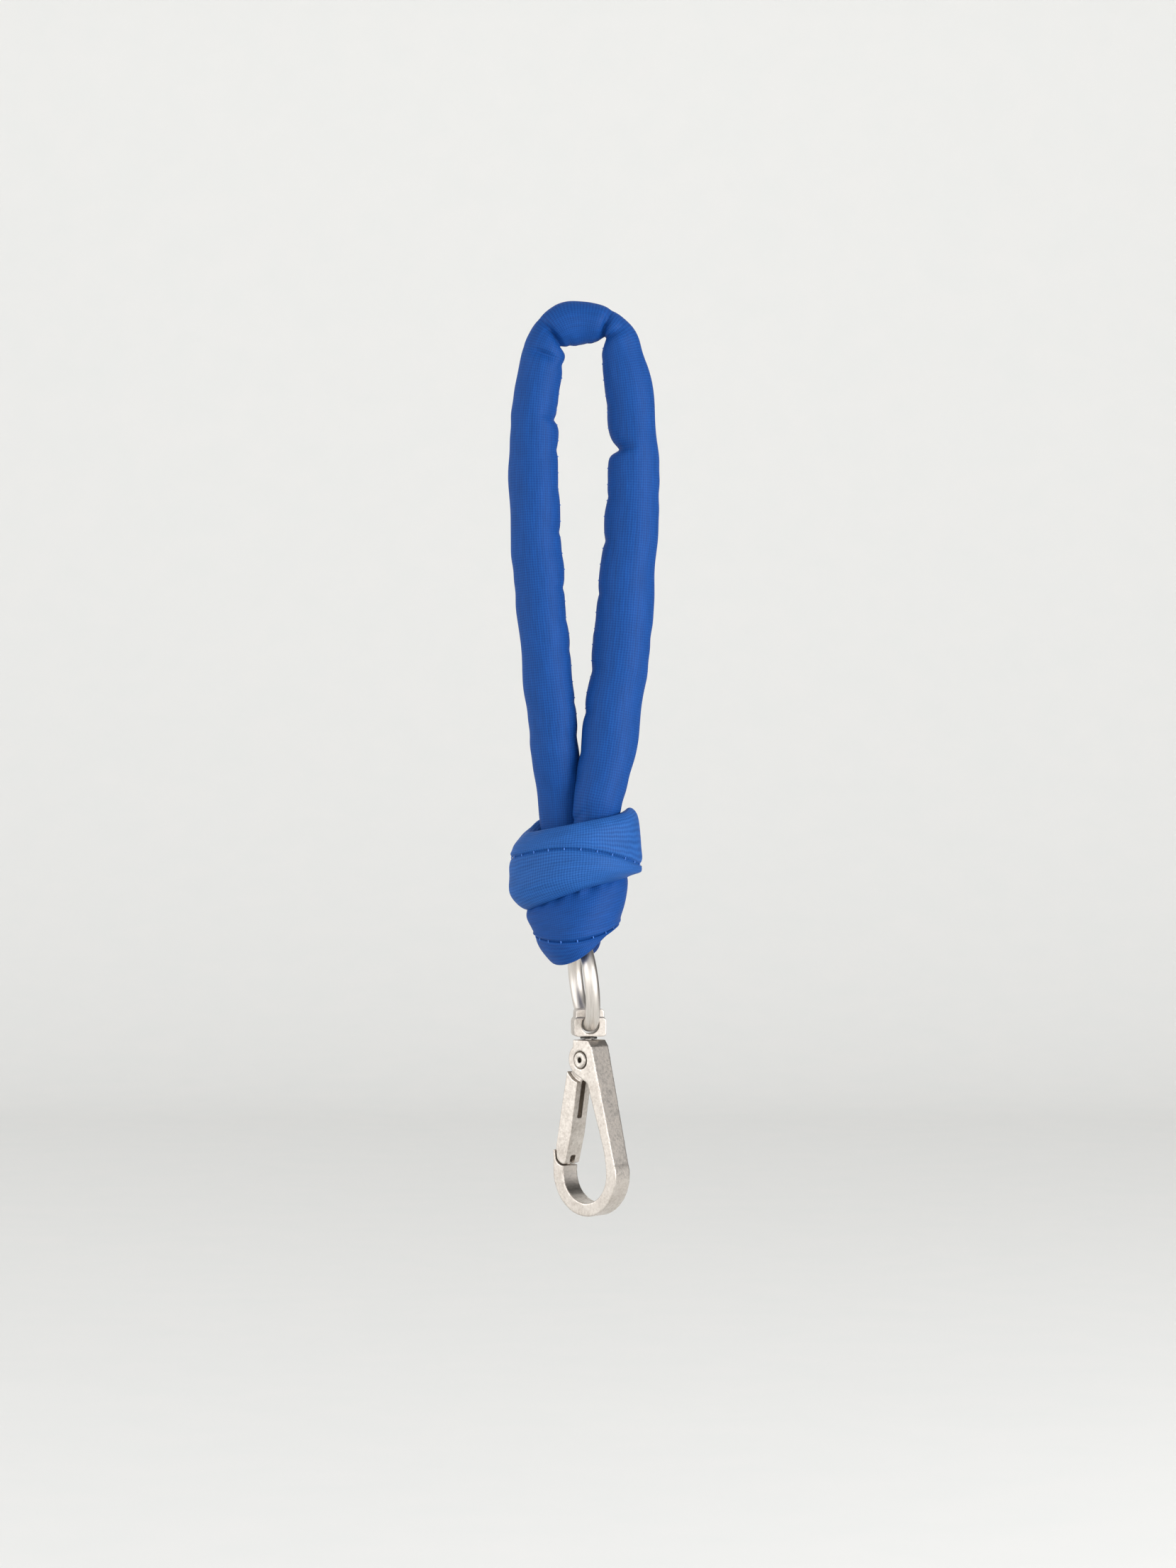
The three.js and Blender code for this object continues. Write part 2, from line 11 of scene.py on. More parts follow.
import bmesh
import bpy
import numpy as np
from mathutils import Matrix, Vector


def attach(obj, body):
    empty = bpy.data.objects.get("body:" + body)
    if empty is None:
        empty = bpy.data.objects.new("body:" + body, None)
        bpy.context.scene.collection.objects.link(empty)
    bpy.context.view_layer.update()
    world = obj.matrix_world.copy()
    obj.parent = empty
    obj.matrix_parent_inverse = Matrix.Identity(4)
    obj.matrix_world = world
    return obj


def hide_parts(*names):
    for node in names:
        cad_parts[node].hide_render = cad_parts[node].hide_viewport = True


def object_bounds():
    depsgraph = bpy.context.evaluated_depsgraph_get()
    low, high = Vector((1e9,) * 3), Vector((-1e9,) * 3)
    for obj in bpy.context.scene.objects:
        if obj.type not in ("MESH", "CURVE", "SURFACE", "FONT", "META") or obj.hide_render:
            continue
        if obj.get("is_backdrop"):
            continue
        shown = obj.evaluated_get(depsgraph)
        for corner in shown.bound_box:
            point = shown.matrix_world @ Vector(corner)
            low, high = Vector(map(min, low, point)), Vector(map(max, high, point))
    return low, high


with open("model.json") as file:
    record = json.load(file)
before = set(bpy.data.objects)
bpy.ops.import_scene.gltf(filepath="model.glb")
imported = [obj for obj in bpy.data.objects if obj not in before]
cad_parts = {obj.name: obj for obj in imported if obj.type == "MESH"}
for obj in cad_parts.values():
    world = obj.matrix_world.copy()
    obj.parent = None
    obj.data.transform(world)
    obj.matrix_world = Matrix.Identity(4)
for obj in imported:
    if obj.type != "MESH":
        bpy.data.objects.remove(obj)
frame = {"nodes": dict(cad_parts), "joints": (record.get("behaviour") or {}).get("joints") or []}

cad_box = [list(corner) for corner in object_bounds()]
MM = 0.001
scene = bpy.context.scene
print("CAD box, m:", np.round(cad_box, 4).tolist())

# %% [markdown]
# ## Camera
# The view is level, straight along +Y, with a long lens so that the strap's two strands keep
# their true proportions. The frame's height is the longer side, which the sensor width measures.

# %% Place the camera
CAMERA_PLACE = Vector((1.9, -1040.0, -124.8)) * MM
LENS = 85.0
SENSOR = 36.0

camera_data = bpy.data.cameras.new("studio_camera")
camera_data.lens = LENS
camera_data.sensor_width = SENSOR
camera = bpy.data.objects.new("studio_camera", camera_data)
camera.location = CAMERA_PLACE
camera.rotation_euler = (np.pi / 2, 0, 0)
scene.collection.objects.link(camera)
scene.camera = camera
print("field height at the object, mm:", round(-CAMERA_PLACE.y / MM * SENSOR / LENS, 1))

# %% [markdown]
# ## Small helpers
# Colours are written as the hex values a paint chart would give, which are gamma-coded, so one
# function turns them to the linear values that shaders add and multiply. Another adds a node:
# its settings are plain keywords, and its inputs are values or the outputs that feed them.

# %% Colour and node helpers
def linear(code):
    """sRGB hex to linear RGBA: the low end is divided by 12.92, the rest is a 2.4 power curve."""
    value = np.array([int(code[i:i + 2], 16) for i in (0, 2, 4)]) / 255
    value = np.where(value <= 0.04045, value / 12.92, ((value + 0.055) / 1.055) ** 2.4)
    return (*value.tolist(), 1.0)


def add(tree, kind, inputs=None, **settings):
    """Adds one shader node, sets its properties, and fills or links its inputs."""
    node = tree.nodes.new("ShaderNode" + kind)
    for name, value in settings.items():
        setattr(node, name, value)
    for socket, value in (inputs or {}).items():
        if isinstance(value, bpy.types.NodeSocket):
            tree.links.new(value, node.inputs[socket])
        else:
            node.inputs[socket].default_value = value
    return node


def start_material(name):
    """A named material with an empty tree: returns it, its tree and its output node."""
    made = bpy.data.materials.new(name)
    made.use_nodes = True
    made.node_tree.nodes.clear()
    return made, made.node_tree, add(made.node_tree, "OutputMaterial")


# %% [markdown]
# A smooth surface starts from a few listed stations. Between them each number follows a cubic
# curve whose slope at a station is the difference of its two neighbours, which is the same
# idea as pulling a thin batten round pegs. The strap then needs equal steps of length.

# %% Curve and grid helpers
def smooth(stations, at, closed=False):
    """Cubic Hermite values at positions counted in stations: slopes are central differences."""
    stations = np.asarray(stations, float)
    if closed:
        stations = np.vstack([stations[-2:], stations, stations[:3]])
        at = at + 2
    slopes = np.gradient(stations, axis=0)
    i = np.clip(np.floor(at).astype(int), 0, len(stations) - 2)
    u = (at - i)[:, None]
    start, rise = stations[i], stations[i + 1] - stations[i]
    return (start + rise * (3 * u**2 - 2 * u**3) + slopes[i] * (u**3 - 2 * u**2 + u)
            + slopes[i + 1] * (u**3 - u**2))


def lengths(points):
    """Distance along a row of points, from 0: the running sum of the steps."""
    return np.r_[0, np.cumsum(np.linalg.norm(np.diff(points[:, :3], axis=0), axis=1))]


def evenly(stations, count, fineness=40):
    """The smooth curve through stations in equal steps of length, and the length at each."""
    fine = smooth(stations, np.linspace(0, len(stations) - 1, fineness * len(stations)))
    along = lengths(fine)
    even = np.linspace(0, along[-1], count)
    return np.stack([np.interp(even, along, column) for column in fine.T], -1), even


def unit(vectors):
    """The same directions with length 1."""
    return vectors / np.maximum(np.linalg.norm(vectors, axis=-1, keepdims=True), 1e-12)


def hill(value, place, width):
    """A soft bump of height 1 at its place: exp(-((value - place) / width) squared)."""
    return np.exp(-((value - place) / width)**2)


def skin(name, grid, cloth_mm, material, closed=False):
    """A grid of points in mm as a mesh in metres. Columns always wrap round; rows wrap when
    closed, or else each end is capped. cloth_mm is the grid of the pattern's places in mm,
    with one more column (and row, when closed), so that the pattern doesn't turn back."""
    rows, columns = grid.shape[:2]
    i, j = np.meshgrid(np.arange(rows if closed else rows - 1), np.arange(columns), indexing="ij")
    ci = np.stack([i, i + 1, i + 1, i], -1).reshape(-1, 4)
    cj = np.stack([j, j, j + 1, j + 1], -1).reshape(-1, 4)
    faces = ((ci % rows) * columns + cj % columns).tolist()
    caps = [] if closed else [list(range(columns)),
                              list(range(rows * columns - 1, (rows - 1) * columns - 1, -1))]
    mesh = bpy.data.meshes.new(name)
    mesh.from_pydata((grid.reshape(-1, 3) * MM).tolist(), [], faces + caps)
    places = np.vstack([cloth_mm[ci, cj].reshape(-1, 2), np.zeros((columns * len(caps), 2))])
    mesh.uv_layers.new(name="cloth_mm").uv.foreach_set("vector", places.ravel().astype(np.float32))
    mesh.shade_smooth()
    return place(name, mesh, material)


def place(name, mesh, material):
    """Puts a mesh in the scene as one object with one material."""
    piece = bpy.data.objects.new(name, mesh)
    scene.collection.objects.link(piece)
    mesh.materials.clear()
    mesh.materials.append(material)
    outward = sum(f.center.dot(f.normal) * f.area for f in mesh.polygons) > 0
    if not outward:
        mesh.flip_normals()
    print(f"{name}: {len(mesh.vertices)} vertices, {len(mesh.polygons)} faces, "
          f"flipped {not outward}")
    return piece


# %% [markdown]
# ## Nylon weave
# The cover is plain-woven nylon, dyed royal blue: round filament threads that pass over and
# under each other, so crests catch light and the gaps between them are darker; that light and
# shade is painted into the colour. The real pitch is about 0.45 mm, and it is drawn at 0.7 mm
# so that it shows. The pattern follows the cloth, so it reads the piece's own map in
# millimetres. A plain weave's crests lie like the dark squares of a chessboard, which
# cos(u) - cos(v) gives on diagonals with no tile edges. The knot's upper band catches more
# light than the rest, so a lighter copy of the same cloth paints that light in.

# %% Nylon weave material
WEAVE_PITCH = 0.7


def nylon_weave(name, crest, gap):
    """Dyed plain-woven nylon: colour and bump from (cos u - cos v) / 2, with uneven threads.
    The darker gap colour is painted shade between the threads, the crest colour painted light.
    """
    made, tree, out = start_material(name)
    cloth = add(tree, "UVMap", uv_map="cloth_mm").outputs["UV"]
    wander = add(tree, "TexNoise", {"Vector": cloth, "Scale": 0.35, "Detail": 2.0})
    shift = add(tree, "VectorMath", {0: wander.outputs["Color"], 1: (0.5, 0.5, 0.5)},
                operation="SUBTRACT")
    bent = add(tree, "VectorMath", {0: shift.outputs[0], 1: (0.5, 0.5, 0), 2: cloth},
               operation="MULTIPLY_ADD")
    turns = add(tree, "VectorMath", {0: bent.outputs[0], "Scale": 2 * np.pi / WEAVE_PITCH},
                operation="SCALE")
    split = add(tree, "SeparateXYZ", {0: turns.outputs[0]})
    across = add(tree, "Math", {0: split.outputs[0]}, operation="COSINE")
    along = add(tree, "Math", {0: split.outputs[1]}, operation="COSINE")
    weave = add(tree, "Math", {0: across.outputs[0], 1: along.outputs[0]}, operation="SUBTRACT")
    height = add(tree, "MapRange", {"Value": weave.outputs[0], 1: -2.0, 2: 2.0})
    yarn = add(tree, "VectorMath", {0: cloth, 1: (1.1, 0.12, 1)}, operation="MULTIPLY")
    streak = add(tree, "TexNoise", {"Vector": yarn.outputs[0], "Scale": 1.0, "Detail": 3.0})
    slub = add(tree, "MapRange", {"Value": streak.outputs[0], 1: 0.3, 2: 0.7, 3: 0.88, 4: 1.1})
    # The blue is the dye; the gap colour is painted shade between the threads and the crest colour
    # painted light on them.
    dye_and_weave_shade = add(tree, "Mix", {"Factor": height.outputs[0], "A": linear(gap), "B": linear(crest)},
              data_type="RGBA")
    uneven = add(tree, "VectorMath", {0: dye_and_weave_shade.outputs[2], "Scale": slub.outputs[0]},
                 operation="SCALE")
    bump = add(tree, "Bump", {"Height": height.outputs[0], "Strength": 0.55, "Distance": 1.2e-4})
    shader = add(tree, "BsdfPrincipled", {
        "Base Color": uneven.outputs[0], "Normal": bump.outputs[0], "Roughness": 0.62,
        "Specular IOR Level": 0.16, "IOR": 1.53, "Sheen Weight": 0.06, "Sheen Roughness": 0.35,
        "Sheen Tint": linear("4f8cf0")})
    tree.links.new(shader.outputs[0], out.inputs[0])
    return made


NYLON = nylon_weave("nylon_plain_weave", "104a90", "083678")
# A lighter copy of the same nylon: painted light for the knot's upper band, which catches more light.
LIGHTER_LIT_NYLON = nylon_weave("nylon_plain_weave_painted_light", "255ca3", "154382")
# A darker copy of the same nylon: painted shade for the tab, which lies under the wire and inside the
# knot.
SHADED_TAB_NYLON = nylon_weave("nylon_tab_weave_painted_shade", "183f80", "0d2858")

# %% [markdown]
# ## Sewing thread and wadding
# The thread is bonded polyester, a shade paler than the cloth, and its plies wind round it in
# fine slanted bands. The wadding is matted white polyester fibre, which only cut or strained
# cloth would show; it still gets fluff, because the part may be opened or recoloured later.

# %% Thread and wadding materials
def sewing_thread():
    """Twisted thread: a fine band pattern through the thread tints it and lifts the plies."""
    made, tree, out = start_material("polyester_sewing_thread")
    place_in = add(tree, "TexCoord").outputs["Object"]
    plies = add(tree, "TexWave", {"Vector": place_in, "Scale": 900.0, "Distortion": 1.5},
                bands_direction="DIAGONAL")
    tint = add(tree, "Mix", {"Factor": plies.outputs["Fac"], "A": linear("2c5fae"),
                             "B": linear("4f83d2")}, data_type="RGBA")
    bump = add(tree, "Bump", {"Height": plies.outputs["Fac"], "Strength": 0.5, "Distance": 4e-5})
    shader = add(tree, "BsdfPrincipled", {
        "Base Color": tint.outputs[2], "Normal": bump.outputs[0], "Roughness": 0.55,
        "Specular IOR Level": 0.3, "Sheen Weight": 0.05, "Sheen Roughness": 0.3,
        "Sheen Tint": linear("4f8cf0")})
    tree.links.new(shader.outputs[0], out.inputs[0])
    return made


def fibre_wadding():
    """Matted white fibre: two sizes of noise, one for clumps and one for single fibres."""
    made, tree, out = start_material("polyester_wadding")
    place_in = add(tree, "TexCoord").outputs["Object"]
    clumps = add(tree, "TexNoise", {"Vector": place_in, "Scale": 180.0, "Detail": 6.0})
    tint = add(tree, "Mix", {"Factor": clumps.outputs[0], "A": linear("d9d7d0"),
                             "B": linear("f4f3ee")}, data_type="RGBA")
    bump = add(tree, "Bump", {"Height": clumps.outputs[0], "Strength": 0.8, "Distance": 6e-4})
    shader = add(tree, "BsdfPrincipled", {
        "Base Color": tint.outputs[2], "Normal": bump.outputs[0], "Roughness": 0.95,
        "Sheen Weight": 0.3})
    tree.links.new(shader.outputs[0], out.inputs[0])
    return made


THREAD = sewing_thread()
WADDING = fibre_wadding()

# %% [markdown]
# ## Metals
# The hook is zinc, pressure die-cast and barrel-plated to a dull antique silver: the surface is
# a warm grey with a fine grain of pits about 0.4 mm apart that stay darker, and broad cloudy
# patches where the barrel has rubbed it. The ring is drawn steel wire, bent and butt-welded,
# so its scratches run round the ring. The spring is oiled spring steel.

# %% Metal materials
def grained_metal(name, bright, dull, grain_mm, roughness, depth, stretch=(1, 1, 1), uv=False):
    """Plated metal: clouds and grain of noise mix two tones and vary the roughness."""
    made, tree, out = start_material(name)
    if uv:
        cloth = add(tree, "UVMap", uv_map="cloth_mm").outputs["UV"]
        source = add(tree, "VectorMath", {0: cloth, "Scale": MM}, operation="SCALE").outputs[0]
    else:
        source = add(tree, "TexCoord").outputs["Object"]
    pulled = add(tree, "VectorMath", {0: source, 1: stretch}, operation="MULTIPLY").outputs[0]
    grain = add(tree, "TexNoise", {"Vector": pulled, "Scale": 1 / (grain_mm * MM * 2),
                                   "Detail": 4.0, "Roughness": 0.7})
    clouds = add(tree, "TexNoise", {"Vector": pulled, "Scale": 1 / (9 * grain_mm * MM),
                                    "Detail": 3.0})
    mixed = add(tree, "Math", {0: clouds.outputs[0], 1: 0.45, 2: grain.outputs[0]},
                operation="MULTIPLY_ADD")
    share = add(tree, "MapRange", {"Value": mixed.outputs[0], 1: 0.48, 2: 0.92})
    tint = add(tree, "Mix", {"Factor": share.outputs[0], "A": linear(dull), "B": linear(bright)},
               data_type="RGBA")
    rough = add(tree, "MapRange", {"Value": mixed.outputs[0], 1: 0.45, 2: 0.95,
                                   3: roughness + 0.12, 4: roughness - 0.08})
    bump = add(tree, "Bump", {"Height": grain.outputs[0], "Strength": 0.5, "Distance": depth * MM})
    shader = add(tree, "BsdfPrincipled", {
        "Base Color": tint.outputs[2], "Metallic": 1.0, "Roughness": rough.outputs[0],
        "Normal": bump.outputs[0]})
    tree.links.new(shader.outputs[0], out.inputs[0])
    return made


CAST_ZINC = grained_metal("antique_silver_zinc_die_cast", "ded7cf", "bab1a8", 0.4, 0.38, 0.04)
RING_WIRE = grained_metal("bright_drawn_steel_wire", "ebe5de", "c8c1b9", 0.35, 0.42, 0.02,
                          (0.08, 1, 1), uv=True)
RIVET_STEEL = grained_metal("nickel_plated_rivet_steel", "e2dcd4", "b0a89f", 0.4, 0.32, 0.02)
SPRING_STEEL = grained_metal("oiled_spring_steel", "6a6763", "2c2a28", 0.3, 0.4, 0.02)

# %% [markdown]
# ## The strap cover
# The loop is a sewn tube of nylon, turned right side out over a thick cord of wadding. It could
# be a bevelled curve, but the tube swells and creases differently on each side, so it is a
# surface: the distance along the strap and the angle round it give each point. Angle 0 is the
# inner side of the loop, where the closing seam runs. The stations carry the strap's own half
# width, which is narrow where it bends over the top and where the knot grips it.

# %% Strap surface
# x, y, z and half width, in mm, from the knot up the left strand, over the top and down again.
STRAP_STATIONS = [
    (-4.9, 1.0, -154, 4.6), (-5.3, 1.5, -147, 4.8), (-5.6, 2.2, -137, 5.8), (-6.4, 2.0, -126, 6.5),
    (-7.7, 1.0, -113, 7.2), (-9.4, 0, -96, 7.1), (-11.3, 0, -76, 7.3), (-12.6, 0, -60, 7.2),
    (-13.3, 0, -44, 7.45), (-13.5, 0, -28, 6.95), (-12.4, 0, -13, 6.6), (-10.8, 0, -4.6, 6.2),
    (-8.2, 0, 1.6, 5.3), (-4.2, 0, 4.4, 6.1), (0.0, 0, 5.1, 5.8), (3.7, 0, 4.7, 5.5),
    (6.9, 0, 3.4, 5.0), (10.2, 0, 0.0, 5.7), (12.1, 0, -6, 6.1), (13.4, 0, -14, 6.8),
    (14.5, 0, -29, 7.5), (14.7, 0, -44, 7.6), (13.3, 0, -63, 8.1), (11.7, 0, -84, 8.3),
    (10.1, 0, -97, 8.4), (8.3, -1.0, -110, 8.2), (6.5, -2.4, -122, 7.6), (4.2, -3.2, -133, 6.7),
    (4.6, -2.2, -145, 4.8), (4.7, -1.0, -153, 4.6),
]
STRAP_ROWS = 620
STRAP_COLUMNS = 56
STRAP_GIRTH = 45.0
STRAP_DEPTH = 0.95
INNER_SPARE = 0.7

strap_line, strap_along = evenly(STRAP_STATIONS, STRAP_ROWS)
strap_centre = strap_line[:, None, :3]
strap_tangent = unit(np.gradient(strap_line[:, :3], axis=0))
strap_inner = unit(np.cross([0, 1, 0], strap_tangent))
strap_back = np.cross(strap_tangent, strap_inner)
strap_angle = np.arange(STRAP_COLUMNS) / STRAP_COLUMNS * 2 * np.pi


def strap_tube(fullness):
    """Point = centre + half width x (cos angle x inner side + sin angle x depth x back), with
    a little spare cloth added on the inner half, where the seam gathers it."""
    side = np.cos(strap_angle)[None, :, None] * strap_inner[:, None]
    back = np.sin(strap_angle)[None, :, None] * strap_back[:, None]
    spare = INNER_SPARE * np.maximum(np.cos(strap_angle), 0)[None, :, None] * side
    return strap_centre + fullness * strap_line[:, None, 3:] * (side + STRAP_DEPTH * back) + spare


strap_map = np.stack(np.meshgrid(np.linspace(0, STRAP_GIRTH, STRAP_COLUMNS + 1), strap_along), -1)
print("strap length, mm:", round(strap_along[-1], 1))

# %% [markdown]
# The wadding pushes the cover out and the seam holds it in, so the cover is swollen by a cloth
# simulation: air pressure inside, no gravity, the ends held by the knot, and a seam that is
# shorter than the cloth on each side of it. Cloth is solved in a copy fifty times as large,
# where its default thickness and masses make sense. How far a point may move is capped.

# %% Cloth helper
ENLARGE = 50.0
NYLON_MASS, NYLON_STRETCH, NYLON_BEND = 0.15, 25, 0.6


def swell(piece, girth_count, held, gathered, pressure, cap_mm, shrink, frames=20):
    """Cloth with air pressure. held and gathered are 0 to 1 for each vertex. Each ring of
    girth_count points keeps its middle, so the tube swells but doesn't wander, and a point's
    travel is scaled down to cap_mm where it is longer. Only the new shape is left."""
    count = len(piece.data.vertices)
    rest = np.empty(count * 3, np.float32)
    piece.data.vertices.foreach_get("co", rest)
    rest = rest.reshape(-1, 3)
    large = bpy.data.objects.new("swelling_copy", piece.data.copy())
    scene.collection.objects.link(large)
    large.data.vertices.foreach_set("co", (rest * ENLARGE).ravel())
    for group, weights in (("held", held), ("gathered", gathered)):
        made = large.vertex_groups.new(name=group)
        for level in np.unique(np.round(weights, 2)):
            chosen = np.flatnonzero(np.round(weights, 2) == level)
            made.add(chosen.tolist(), float(level), "REPLACE")
    cloth = large.modifiers.new("swelling", "CLOTH")
    cloth.settings.quality = 6
    cloth.settings.mass = NYLON_MASS
    cloth.settings.tension_stiffness = cloth.settings.compression_stiffness = NYLON_STRETCH
    cloth.settings.bending_stiffness = NYLON_BEND
    cloth.settings.use_pressure = True
    cloth.settings.uniform_pressure_force = pressure
    cloth.settings.effector_weights.gravity = 0
    cloth.settings.vertex_group_mass = "held"
    cloth.settings.vertex_group_shrink = "gathered"
    cloth.settings.shrink_max = shrink
    cloth.collision_settings.use_collision = False
    for step in range(1, frames + 1):
        scene.frame_set(step)
    solved = large.evaluated_get(bpy.context.evaluated_depsgraph_get())
    moved = np.empty(count * 3, np.float32)
    solved.data.vertices.foreach_get("co", moved)
    travel = (moved.reshape(-1, 3) / ENLARGE - rest).reshape(-1, girth_count, 3)
    travel = (travel - travel.mean(1, keepdims=True)).reshape(-1, 3)
    far = np.linalg.norm(travel, axis=1, keepdims=True)
    travel *= np.minimum(1, cap_mm * MM / np.maximum(far, 1e-9))
    piece.data.vertices.foreach_set("co", (rest + travel).ravel())
    piece.data.update()
    bpy.data.objects.remove(large)
    scene.frame_set(1)
    print(f"{piece.name}: swelled by up to {far.max() / MM:.1f} mm, capped at {cap_mm} mm")


# %% [markdown]
# Creases come after the swelling. A crease is a plane that cuts the tube: the cloth dips
# towards the strap's middle by a depth that falls off as exp(-distance / width), and stands a
# little proud beyond it on the outer side, as a stuffed tube does beside a kink. The first
# four are where the strap folds over at the top, the next two are pinches on the loop's inner
# side, and the last is a fold just above the knot. Shallow puckers along the seam are spaced
# unevenly, with a seeded draw.

# %% Creases
# Inner point (x, z), outer point (x, z), depth at the inner point, half way and at the outer
# point, and width below and above, in mm.
CREASES = [
    ((-5.0, -1.8), (-11.6, 5.8), 2.6, 2.5, 0.2, 0.5, 0.3),
    ((5.2, -0.4), (8.4, 8.2), 2.4, 2.4, 0.3, 0.3, 0.5),
    ((-6.2, -6.2), (-14.5, -2.6), 0.1, 1.6, 0.1, 1.3, 0.45),
    ((5.9, -0.9), (12.2, 3.6), 2.0, 1.5, 0.0, 0.5, 0.9),
    ((-6.6, -22.6), (-12.0, -21.0), 1.3, 0.6, 0.0, 1.0, 1.6),
    ((7.0, -31.4), (15.5, -30.6), 3.4, 2.2, 0.0, 4.0, 0.9),
    ((-2.6, -135.0), (3.5, -130.5), 0.6, 0.3, 0.0, 0.6, 0.9),
]
CREASE_REACH = 12.0
CUSP = 0.2
DEEPEST_SHARE = 0.62
PILLOW, PILLOW_PLACE, PILLOW_WIDTH = 0.16, 2.4, 1.4


def creased(points, creases):
    """Moves points towards the strap's middle line by the sum of each crease's depth, which
    follows a parabola through its three depths."""
    outward = points - strap_centre
    reach = np.linalg.norm(outward, axis=-1)
    dip = np.zeros_like(reach)
    for inner, outer, deep_in, deep_middle, deep_out, before, after in creases:
        inner, outer = np.array(inner), np.array(outer)
        middle = (inner + outer) / 2
        nearest = np.argmin(np.linalg.norm(strap_line[:, [0, 2]] - middle, axis=1))
        line = unit(outer - inner)
        across = np.array([-line[1], line[0]])
        across *= np.sign(across @ strap_tangent[nearest, [0, 2]])
        offset = points[..., [0, 2]] - inner
        from_plane = offset @ across
        share = np.clip(offset @ line / np.linalg.norm(outer - inner), 0, 1)
        width = np.where(from_plane < 0, before, after)
        blunt = np.sqrt(from_plane**2 + CUSP**2) - CUSP
        pillow = PILLOW * share * hill(blunt, PILLOW_PLACE, PILLOW_WIDTH)
        fall = np.exp(-blunt / width) - pillow
        near = np.abs(strap_along - strap_along[nearest]) < CREASE_REACH
        deep = (deep_in * (1 - share) * (1 - 2 * share) + deep_middle * 4 * share * (1 - share)
                + deep_out * share * (2 * share - 1))
        dip += near[:, None] * deep * fall
    dip = np.minimum(dip, DEEPEST_SHARE * reach)
    return points - unit(outward) * dip[..., None]


PUCKERS = 26
PUCKER_HALF_ANGLE = 0.85
LOOP_SEAM_DEPTH, LOOP_SEAM_ANGLE = 0.5, 0.11
CALM_FROM, CALM_OVER, CALM_LEAST = 20.0, 30.0, 0.1


def puckered(points, seed=11):
    """Seam puckers: narrow dips at uneven distances, deepest at angle 0 and gone at 90 degrees,
    with fainter ripples that slant away from the seam and the broad lumps of the wadding. Near
    the knot the cloth is pulled tight, so the puckers fade there."""
    draw = np.random.default_rng(seed)
    where = np.cumsum(draw.uniform(8, 16, PUCKERS))
    deep = draw.uniform(0.25, 0.85, PUCKERS)
    width = draw.uniform(1.3, 2.6, PUCKERS)
    slant = draw.uniform(-2.5, 2.5, PUCKERS)
    turn = (strap_angle + np.pi) % (2 * np.pi) - np.pi
    shifted = strap_along[:, None, None] - where - slant * np.abs(turn)[None, :, None]
    dips = deep * np.exp(-np.abs(shifted / width)**1.4)
    fade = hill(turn, 0, PUCKER_HALF_ANGLE)[None, :]
    seam = LOOP_SEAM_DEPTH * np.exp(-np.abs(turn) / LOOP_SEAM_ANGLE)[None, :]
    along = strap_along[:, None]
    ripple = 0.07 * np.sin(along / 1.9 + 3 * np.sin(along / 7) + turn)
    lumps = 0.18 * np.sin(along / 3.1 + 1.3 * np.cos(turn)) + 0.16 * np.sin(along / 5.3 - 2 * turn)
    from_knot = np.minimum(along, along[-1] - along)
    calm = np.clip((from_knot - CALM_FROM) / CALM_OVER, CALM_LEAST, 1)
    move = (dips.sum(-1) * fade + seam) * calm + ripple + lumps
    return points - unit(points - strap_centre) * move[..., None]


# %% Make the cover and its wadding
BEFORE_SWELLING = 0.985
cover = skin("strap_cover_sewn", strap_tube(BEFORE_SWELLING), strap_map, NYLON)
HELD_LENGTH, HELD_FADE = 14, 8
SEAM_HALF_ANGLE = 0.25
from_end = np.minimum(strap_along, strap_along[-1] - strap_along)
held = np.repeat(np.clip(1 - (from_end - HELD_LENGTH) / HELD_FADE, 0, 1), STRAP_COLUMNS)
from_seam = np.minimum(strap_angle, 2 * np.pi - strap_angle)
gathered = np.tile(np.clip(1 - from_seam / SEAM_HALF_ANGLE, 0, 1), STRAP_ROWS)
swell(cover, STRAP_COLUMNS, held, gathered, pressure=12.0, cap_mm=1.2, shrink=0.04)

swollen = np.empty(STRAP_ROWS * STRAP_COLUMNS * 3, np.float32)
cover.data.vertices.foreach_get("co", swollen)
swollen = swollen.reshape(STRAP_ROWS, STRAP_COLUMNS, 3).astype(float) / MM
final_cover = creased(puckered(swollen), CREASES)
cover.data.vertices.foreach_set("co", (final_cover * MM).astype(np.float32).ravel())
cover.data.update()
finer = cover.modifiers.new("finer", "SUBSURF")
finer.levels = finer.render_levels = 1

WADDING_SHARE = 0.86
wadding_points = strap_centre + (final_cover - strap_centre) * WADDING_SHARE
wadding = skin("strap_wadding_core", wadding_points, strap_map, WADDING)

# %% [markdown]
# ## The knot's two turns
# The strap's doubled end is tied in an overhand knot, and from outside that reads as two broad
# bands round the strands, one above the other. Each is a closed band: its section is a row of
# stations that goes down the outside and up the inside, and each station is an oval round the
# strands. An oval's height follows z = base + slope x + bow x squared + climb y, so that the
# top edge, the sewn seam and the bottom edge each keep their own line across the front.

